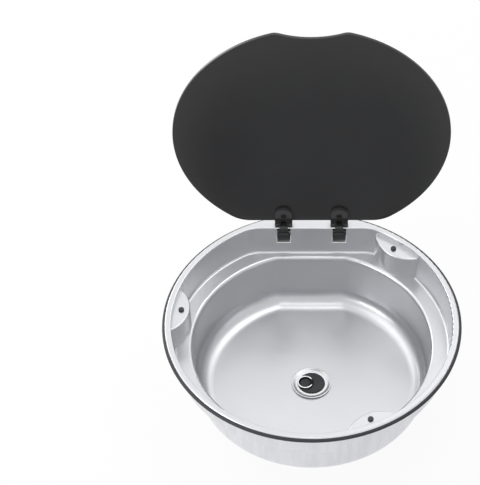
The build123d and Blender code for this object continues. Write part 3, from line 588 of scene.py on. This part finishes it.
def plug_plastic():
    """Plug plastic with painted shade, near black, along the groove where the pull ring lies."""
    darks = bpy.context.scene.sink_darks
    finish = Finish("Plug plastic").surface(ior=1.5, specular_ior_level=0.2)
    grain = finish.noise("Mould grain", EVEN, scale=1800.0, detail=2.0)
    finish.tint("Body colour", grain, darks.plug_colour, change=0.08)
    finish.spread("Sheen", grain, 0.34, 0.46, "Roughness")
    finish.relief(("Grain relief", grain, PLUG_GRAIN_DEPTH))
    reach = finish.away_from("Groove reach", GROOVE_X)
    off_line = finish.maths("Off the groove", "ABSOLUTE", finish.maths("Past", "SUBTRACT", reach, GROOVE_R))
    near, far = GROOVE_HALF - GROOVE_BLEND_IN, GROOVE_HALF + GROOVE_BLEND_OUT
    groove = finish.ramp("Groove", off_line, near, far, low=1.0, high=0.0)
    # Painted shade: the band along the groove is coloured near black, as if it lay in shadow
    finish.recolour("Painted groove shade", groove, darks.pad_and_shade_colour)
    return finish.material


def clamp_plastic():
    """Hinge plastic whose sides that face away from the bowl are painted near black as painted shade,
    against its paler face towards the bowl.
    """
    darks = bpy.context.scene.sink_darks
    finish = Finish("Clamp plastic").surface(ior=1.5)
    grain = finish.noise("Mould grain", EVEN, scale=2200.0, detail=2.0)
    finish.tint("Body colour", grain, darks.clamp_colour, change=0.08)
    finish.relief(("Grain relief", grain, MOULD_GRAIN_DEPTH))
    facing = finish.add("ShaderNodeVectorMath", "Faces the bowl", operation="DOT_PRODUCT")
    facing.inputs[1].default_value = (0.0, -1.0, 0.0)
    finish.link(finish.place, "Normal", facing, 0)
    side = finish.ramp("Shaded sides", facing.outputs["Value"], start=0.78, end=0.86, low=1.0, high=0.0)
    sheen = finish.ramp("Sheen", side, 0.0, 1.0, low=0.42, high=0.9)
    finish.tree.links.new(sheen, finish.shader.inputs["Roughness"])
    # Painted shade: the sides turned away from the bowl get the near-black pad colour
    finish.recolour("Painted side shade", side, darks.pad_and_shade_colour)
    return finish.material


def finishes():
    """What makes each finish: the record's slots, and the waste's ring, the clamps and the pads."""
    darks = bpy.context.scene.sink_darks
    return {
        "stainless_steel": satin_steel,
        "polished_steel": polished_steel,
        "waste_ring": waste_ring_steel,
        "dark_glass": dark_glass,
        "seal_rubber": lambda: moulded("Seal rubber", darks.rubber_colour, 0.6, grain_scale=1500.0),
        "bumper_rubber": lambda: moulded("Bumper rubber", darks.rubber_colour, 0.5, grain_scale=1800.0),
        "hinge_plastic": lambda: moulded("Hinge plastic", darks.hinge_colour, 0.42, grain_scale=2200.0),
        "clamp_plastic": clamp_plastic,
        "pad_rubber": lambda: moulded("Pad rubber", darks.pad_and_shade_colour, 0.8, grain_scale=1500.0),
        "waste_plastic": lambda: moulded("Waste plastic", darks.waste_colour, 0.45, grain_scale=1600.0),
        "plug_plastic": plug_plastic,
        # The clamp screws' near black is partly painted shade, standing in for the shade in the clamps'
        # screw recesses
        "black_screw": lambda: moulded("Blackened screw", darks.pad_and_shade_colour, 0.45, 3000.0, SCREW_GRAIN_DEPTH),
    }


def finish_of(name):
    """The material of one finish, made when it is first asked for and kept with the scene."""
    kept = dict(bpy.context.scene.get("sink_finishes", {}))
    if name not in kept:
        kept[name] = finishes()[name]().name
        bpy.context.scene["sink_finishes"] = kept
    return bpy.data.materials[kept[name]]


def dress(names, finish):
    """Gives CAD nodes their finish in place of the plain packed one."""
    material = finish_of(finish)
    for name in names:
        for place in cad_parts[name].material_slots:
            place.material = material


def welded(node):
    """A node's shape as one closed mesh that can be reshaped."""
    shape = bmesh.new()
    shape.from_mesh(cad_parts[node].data)
    bmesh.ops.remove_doubles(shape, verts=shape.verts, dist=WELD)
    return shape


def stand_in(name, shape, node, body, finish):
    """Puts a reshaped piece in its node's place, on the node's body and in its slot."""
    bmesh.ops.recalc_face_normals(shape, faces=shape.faces)
    mesh = bpy.data.meshes.new(name)
    shape.to_mesh(mesh)
    shape.free()
    mesh.shade_smooth()
    mesh.set_sharp_from_angle(angle=SHARP_EDGE)
    mesh.materials.clear()
    mesh.materials.append(finish_of(finish))
    piece = bpy.data.objects.new(name, mesh)
    bpy.context.scene.collection.objects.link(piece)
    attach(piece, body)
    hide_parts(node)


def ring_top(share, dish):
    """Reach and height of the waste ring's top at a share of the way from the plug's seat to the edge."""
    if share > WASTE_ROLL_SHARE:
        turn = (share - WASTE_ROLL_SHARE) / (1.0 - WASTE_ROLL_SHARE) * math.pi / 2
        reach = WASTE_ROLL_START_R + WASTE_ROLL_R * math.sin(turn)
        return reach, WASTE_RING_TOP - WASTE_ROLL_R * (1.0 - math.cos(turn))
    reach = WASTE_SEAT_R + share / WASTE_ROLL_SHARE * (WASTE_ROLL_START_R - WASTE_SEAT_R)
    climb = min(max((reach - WASTE_LAND_R) / (WASTE_ROLL_START_R - WASTE_LAND_R), 0.0), 1.0)
    return reach, WASTE_RING_TOP - dish * (1.0 - climb * climb * (3.0 - 2.0 * climb))


def dish_ring(shape, dish):
    """Reshapes the waste ring's crown into a dish with a rolled edge."""
    for point in shape.verts:
        level = Vector((point.co.x, point.co.y, 0.0))
        if point.co.z > WASTE_SEAT_Z - WELD and level.length > WASTE_SEAT_R - WELD:
            share = (level.length - WASTE_SEAT_R) / (WASTE_RING_R - WASTE_SEAT_R)
            reach, height = ring_top(min(max(share, 0.0), 1.0), dish)
            point.co = level.normalized() * reach
            point.co.z = height


def groove_cutter(depth):
    """An arc of round bar that cuts the pull ring's groove and leaves the lug."""
    bar_r = (GROOVE_HALF**2 + depth**2) / (2 * depth)
    centre = Vector((GROOVE_X, 0.0, PLUG_TOP_Z - depth + bar_r))
    shape = bmesh.new()
    start = Matrix.Translation(centre) @ Matrix.Rotation(GROOVE_OPENING / 2, 4, "Z")
    upright = start @ Matrix.Translation((GROOVE_R, 0.0, 0.0)) @ Matrix.Rotation(math.pi / 2, 4, "X")
    made = bmesh.ops.create_circle(shape, cap_ends=True, segments=GROOVE_SIDES, radius=bar_r, matrix=upright)
    cap = made["verts"][0].link_faces[0]
    bmesh.ops.spin(
        shape,
        geom=[cap, *cap.edges, *cap.verts],
        cent=centre,
        axis=(0.0, 0.0, 1.0),
        angle=2 * math.pi - GROOVE_OPENING,
        steps=GROOVE_STEPS,
        use_duplicate=False,
    )
    bmesh.ops.recalc_face_normals(shape, faces=shape.faces)
    return shape


def cut(shape, tool):
    """What is left of a shape after a tool is cut from it. Both are used up."""
    objects = []
    for name, part in (("Cut", shape), ("Tool", tool)):
        mesh = bpy.data.meshes.new(name)
        part.to_mesh(mesh)
        part.free()
        objects.append(bpy.data.objects.new(name, mesh))
        bpy.context.scene.collection.objects.link(objects[-1])
    work, knife = objects
    step = work.modifiers.new("Groove", "BOOLEAN")
    step.operation, step.solver, step.object = "DIFFERENCE", "EXACT", knife
    bpy.context.view_layer.update()
    left = bmesh.new()
    left.from_object(work, bpy.context.evaluated_depsgraph_get())
    for item in objects:
        mesh = item.data
        bpy.data.objects.remove(item)
        bpy.data.meshes.remove(mesh)
    return left


class SINK_OT_bowl(bpy.types.Operator):
    """Give the pressed bowl its satin steel"""

    bl_idname = "sink.bowl"
    bl_label = "Pressed Bowl"

    def execute(self, context):
        dress(["sink_bowl"], "stainless_steel")
        return {"FINISHED"}


class SINK_OT_seal(bpy.types.Operator):
    """Give the rim seal its rubber"""

    bl_idname = "sink.seal"
    bl_label = "Rim Seal"

    def execute(self, context):
        dress(["rim_seal"], "seal_rubber")
        return {"FINISHED"}


class SINK_OT_bumpers(bpy.types.Operator):
    """Give the three ledge bumpers their rubber"""

    bl_idname = "sink.bumpers"
    bl_label = "Ledge Bumpers"

    def execute(self, context):
        dress([f"lid_bumper_{name}" for name in BUMPERS], "bumper_rubber")
        return {"FINISHED"}


class SINK_OT_lid(bpy.types.Operator):
    """Give the lid its dark glass, which the steel doesn't mirror"""

    bl_idname = "sink.lid"
    bl_label = "Glass Lid"

    def execute(self, context):
        dress(["lid_glass"], "dark_glass")
        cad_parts["lid_glass"].visible_glossy = False
        return {"FINISHED"}


class SINK_OT_hinges(bpy.types.Operator):
    """Finish both hinges, from the housings behind the wall to the caps on the glass"""

    bl_idname = "sink.hinges"
    bl_label = "Hinges"

    def execute(self, context):
        for side in SIDES:
            dress([f"hinge_arm_{side}", f"hinge_housing_{side}", f"outer_cap_{side}"], "hinge_plastic")
            dress([f"hinge_clamp_{side}"], "clamp_plastic")
            dress([f"inner_pad_{side}", f"outer_pad_{side}"], "pad_rubber")
            dress([f"clamp_screw_{side}"], "black_screw")
            dress([f"hinge_pin_{side}"], "polished_steel")
        return {"FINISHED"}


class SINK_OT_waste(bpy.types.Operator):
    """Dish the waste's ring and finish it with the gaskets, the body and the screw"""

    bl_idname = "sink.waste"
    bl_label = "Waste"

    def execute(self, context):
        ring = welded("waste_flange")
        dish_ring(ring, context.scene.sink_steel.ring_dish)
        stand_in("waste_flange_dished", ring, "waste_flange", "bowl", "waste_ring")
        dress(["waste_screw"], "polished_steel")
        dress(["waste_top_gasket", "waste_bottom_gasket"], "seal_rubber")
        dress(["waste_body"], "waste_plastic")
        return {"FINISHED"}


class SINK_OT_plug(bpy.types.Operator):
    """Cut the plug's groove and finish the plug with its seal and its pull ring"""

    bl_idname = "sink.plug"
    bl_label = "Plug and Pull Ring"

    def execute(self, context):
        plug = cut(welded("plug_body"), groove_cutter(context.scene.sink_darks.groove_depth))
        stand_in("plug_body_grooved", plug, "plug_body", "plug", "plug_plastic")
        dress(["plug_seal"], "seal_rubber")
        dress(["pull_ring"], "polished_steel")
        return {"FINISHED"}


# The picture's frame in pixels, and the camera that was fitted to it
PHOTO_WIDTH = 480
PHOTO_HEIGHT = 485
PHOTO_FOCAL = 2150.2
RIM_CENTRE_PIXEL = (311.5, 320.8)
SENSOR_WIDTH = 36.0
RIM_CENTRE = Vector((0.0, 0.0, 0.0051))
CAMERA_PLACE = Vector((0.0, -1.9465, 2.2880))
CAMERA_SIGHT = 100.0


def add_camera():
    """The camera, turned so that the rim's centre lands on its place in the picture."""
    data = bpy.data.cameras.new("Camera")
    data.sensor_width = SENSOR_WIDTH
    data.lens = SENSOR_WIDTH * PHOTO_FOCAL / max(PHOTO_WIDTH, PHOTO_HEIGHT)
    data.clip_end = CAMERA_SIGHT
    camera = bpy.data.objects.new("Camera", data)
    bpy.context.scene.collection.objects.link(camera)
    bpy.context.scene.camera = camera

    offset = Vector((RIM_CENTRE_PIXEL[0] - PHOTO_WIDTH / 2, PHOTO_HEIGHT / 2 - RIM_CENTRE_PIXEL[1], 0.0))
    axis = Vector((0.0, 0.0, -1.0))
    sight = offset + PHOTO_FOCAL * axis
    camera.location = CAMERA_PLACE
    camera.rotation_mode = "QUATERNION"
    aim = (RIM_CENTRE - CAMERA_PLACE).to_track_quat("-Z", "Y")
    camera.rotation_quaternion = aim @ sight.rotation_difference(axis)


# Each lamp's name, its turn from the front to the right and its rise in degrees, its side and its power
LAMP_REACH = 2.3
LAMPS = (
    ("Left rear low lamp", 225.0, 12.0, 1.2, 17.0),
    ("Rear lamp", 180.0, 32.0, 1.2, 3.8),
    ("Left rear lamp", 225.0, 52.0, 1.2, 5.0),
    ("Left lamp", 270.0, 52.0, 1.2, 4.5),
    ("Right rear lamp", 135.0, 52.0, 1.2, 4.2),
    ("Right rear high lamp", 135.0, 72.0, 1.2, 8.0),
    ("Front high lamp", 0.0, 72.0, 0.4, 1.5),
    ("Left front low lamp", 300.0, 15.0, 1.2, 19.0),
)


def add_lamp(name, turn, rise, size, power):
    """A soft square lamp that looks at the rim from its turn and rise."""
    turn, rise = math.radians(turn), math.radians(rise)
    level = math.cos(rise)
    place = LAMP_REACH * Vector((math.sin(turn) * level, -math.cos(turn) * level, math.sin(rise)))
    data = bpy.data.lights.new(name, "AREA")
    data.shape = "SQUARE"
    data.size = size
    data.energy = power
    lamp = bpy.data.objects.new(name, data)
    bpy.context.scene.collection.objects.link(lamp)
    lamp.location = place
    lamp.rotation_mode = "QUATERNION"
    lamp.rotation_quaternion = (-place).to_track_quat("-Z", "Y")


def seen_by(tree, *rays):
    """One for the named kinds of ray, and zero for every other."""
    path = tree.nodes.new("ShaderNodeLightPath")
    seen = path.outputs[rays[0]]
    for ray in rays[1:]:
        either = tree.nodes.new("ShaderNodeMath")
        either.operation = "MAXIMUM"
        tree.links.new(seen, either.inputs[0])
        tree.links.new(path.outputs[ray], either.inputs[1])
        seen = either.outputs[0]
    return seen


def add_world(room_light):
    """A white room that the camera, metal and glass see, and a dimmer one for even light."""
    world = bpy.data.worlds.new("White room")
    bpy.context.scene.world = world
    world.use_nodes = True
    tree = world.node_tree
    tree.nodes.clear()
    mix = tree.nodes.new("ShaderNodeMixShader")
    direct = seen_by(tree, "Is Camera Ray", "Is Glossy Ray", "Is Transmission Ray")
    tree.links.new(direct, mix.inputs["Fac"])
    for place, strength in ((1, room_light), (2, 1.0)):
        light = tree.nodes.new("ShaderNodeBackground")
        light.inputs["Color"].default_value = WHITE
        light.inputs["Strength"].default_value = strength
        tree.links.new(light.outputs[0], mix.inputs[place])
    output = tree.nodes.new("ShaderNodeOutputWorld")
    tree.links.new(mix.outputs[0], output.inputs["Surface"])


def floor_finish(colour, shadow_share):
    """A pale floor that looks white to the camera and keeps a soft shadow."""
    material = bpy.data.materials.new("Pale floor")
    material.use_nodes = True
    tree = material.node_tree
    tree.nodes.clear()
    diffuse = tree.nodes.new("ShaderNodeBsdfDiffuse")
    diffuse.inputs["Color"].default_value = (*colour, 1.0)
    white = tree.nodes.new("ShaderNodeEmission")
    white.inputs["Color"].default_value = WHITE
    share = tree.nodes.new("ShaderNodeMath")
    share.operation = "MULTIPLY"
    share.inputs[1].default_value = 1.0 - shadow_share
    tree.links.new(seen_by(tree, "Is Camera Ray", "Is Glossy Ray"), share.inputs[0])
    mix = tree.nodes.new("ShaderNodeMixShader")
    tree.links.new(share.outputs[0], mix.inputs["Fac"])
    tree.links.new(diffuse.outputs[0], mix.inputs[1])
    tree.links.new(white.outputs[0], mix.inputs[2])
    output = tree.nodes.new("ShaderNodeOutputMaterial")
    tree.links.new(mix.outputs[0], output.inputs["Surface"])
    return material


def add_floor(size, finish):
    """A square floor under the waste body."""
    half = size / 2
    corners = [(-half, -half, FOOT_Z), (half, -half, FOOT_Z), (half, half, FOOT_Z), (-half, half, FOOT_Z)]
    mesh = bpy.data.meshes.new("Floor")
    mesh.from_pydata(corners, [], [(0, 1, 2, 3)])
    mesh.materials.append(finish)
    floor = bpy.data.objects.new("Floor", mesh)
    bpy.context.scene.collection.objects.link(floor)


class SINK_OT_stage(bpy.types.Operator):
    """Set the pale floor, the soft lamps and the camera"""

    bl_idname = "sink.stage"
    bl_label = "Stage"

    def execute(self, context):
        stage = context.scene.sink_stage
        add_floor(stage.floor_size, floor_finish(stage.floor_colour, stage.shadow_share))
        add_world(stage.room_light)
        for name, turn, rise, size, power in LAMPS:
            add_lamp(name, turn, rise, size, power)
        add_camera()
        context.scene.view_settings.view_transform = "Standard"
        return {"FINISHED"}


PIECES = (
    SINK_OT_bowl,
    SINK_OT_seal,
    SINK_OT_bumpers,
    SINK_OT_lid,
    SINK_OT_hinges,
    SINK_OT_waste,
    SINK_OT_plug,
    SINK_OT_stage,
)


class SINK_PT_sink(bpy.types.Panel):
    """Every piece of the sink, with the sizes and colours that it takes"""

    bl_label = "Sink"
    bl_idname = "SINK_PT_sink"
    bl_space_type = "VIEW_3D"
    bl_region_type = "UI"
    bl_category = "Sink"

    def draw(self, context):
        for group in (context.scene.sink_steel, context.scene.sink_darks, context.scene.sink_stage):
            box = self.layout.box()
            for name in group.__annotations__:
                box.prop(group, name)
        for piece in PIECES:
            self.layout.operator(piece.bl_idname)


GROUPS = {"sink_steel": SinkSteel, "sink_darks": SinkDarks, "sink_stage": SinkStage}


def register():
    for name, group in GROUPS.items():
        bpy.utils.register_class(group)
        setattr(bpy.types.Scene, name, bpy.props.PointerProperty(type=group))
    for cls in (*PIECES, SINK_PT_sink):
        bpy.utils.register_class(cls)


def unregister():
    for cls in reversed((*PIECES, SINK_PT_sink)):
        bpy.utils.unregister_class(cls)
    for name, group in reversed(GROUPS.items()):
        delattr(bpy.types.Scene, name)
        bpy.utils.unregister_class(group)


def main():
    register()
    for piece in PIECES:
        group, name = piece.bl_idname.split(".")
        getattr(getattr(bpy.ops, group), name)()


if __name__ == "__main__":
    main()
